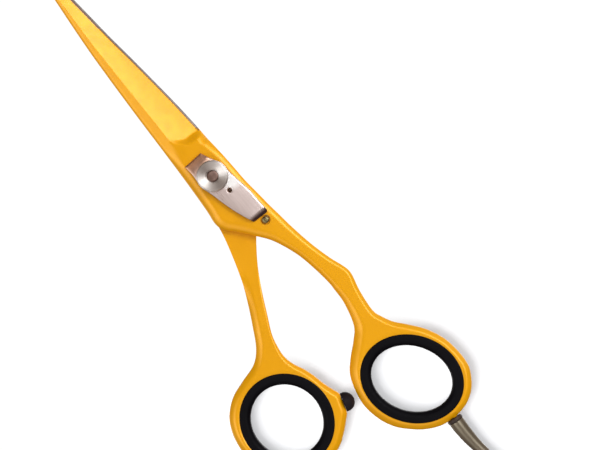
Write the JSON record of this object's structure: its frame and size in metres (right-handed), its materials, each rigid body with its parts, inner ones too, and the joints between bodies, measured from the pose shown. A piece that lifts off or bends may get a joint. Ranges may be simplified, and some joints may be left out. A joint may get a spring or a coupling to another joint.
{
  "type": "hairdressing scissors",
  "caption": "Slim hairdressing scissors with enamelled halves, a dial-adjusted leaf spring at the pivot, rubber ring inserts, a rubber closing stop and a screw-in finger rest.",
  "frame": {"origin": "on the pivot axis, at the flat back of the pivot bolt's head, which is the plane the scissors rest on", "axes": "+Y along the closed blades towards the tips, +Z out of the dial side along the pivot axis, +X towards the finger ring side"},
  "size_m": [0.0607, 0.1886, 0.009],
  "materials": {
    "enamel": "gloss yellow-orange enamel over forged steel, bare ground steel on the inner faces",
    "insert_rubber": "smooth matt black rubber",
    "stop_rubber": "smooth black rubber",
    "spring_steel": "satin spring steel",
    "dial_steel": "circular brushed",
    "bolt_steel": "ground",
    "pin_steel": "polished ends",
    "bush_bronze": "turned bronze",
    "glide_plastic": "smooth low-friction plastic",
    "rest_steel": "satin steel",
    "collar_dark": "dark brown hard rubber"
  },
  "bodies": {
    "finger_side": {"finger_half": "enamel", "pivot_bolt": "bolt_steel", "glide_washer": "glide_plastic", "spring_tail_pin": "pin_steel", "spring_locating_dowel": "pin_steel", "finger_ring_insert": "insert_rubber"},
    "thumb_side": {"thumb_half": "enamel", "pivot_bush": "bush_bronze", "thumb_ring_insert": "insert_rubber", "stop_bumper": "stop_rubber", "bumper_stud": "pin_steel"},
    "leaf": {"tension_leaf_spring": "spring_steel"},
    "dial": {"tension_nut": "dial_steel"},
    "rest_collar": {"finger_rest_washer": "collar_dark"},
    "rest": {"finger_rest": "rest_steel"}
  },
  "joints": [
    {"name": "blade_pivot", "type": "hinge", "parent": "finger_side", "child": "thumb_side", "pos_m": [0, 0, 0.0029], "axis": [0, 0, -1], "range_deg": [-0.85, 60]},
    {"name": "leaf_lift", "type": "slide", "parent": "finger_side", "child": "leaf", "axis": [0, 0, 1], "range_m": [0, 0.00025]},
    {"name": "dial_turn", "type": "hinge", "parent": "leaf", "child": "dial", "pos_m": [0, 0, 0.0081], "axis": [0, 0, 1], "range_deg": [0, 180]},
    {"name": "collar_travel", "type": "slide", "parent": "finger_side", "child": "rest_collar", "axis": [-0.0872, -0.9962, 0], "range_m": [0, 0.00225]},
    {"name": "rest_turn", "type": "hinge", "parent": "rest_collar", "child": "rest", "pos_m": [0.00775, -0.0897, 0.0029], "axis": [-0.0872, -0.9962, 0], "range_deg": [0, 1800]}
  ],
  "couplings": [
    {"joint": "dial_turn", "follows": "leaf_lift", "rad_per_m": 12566},
    {"joint": "rest_turn", "follows": "collar_travel", "rad_per_m": 13963}
  ]
}
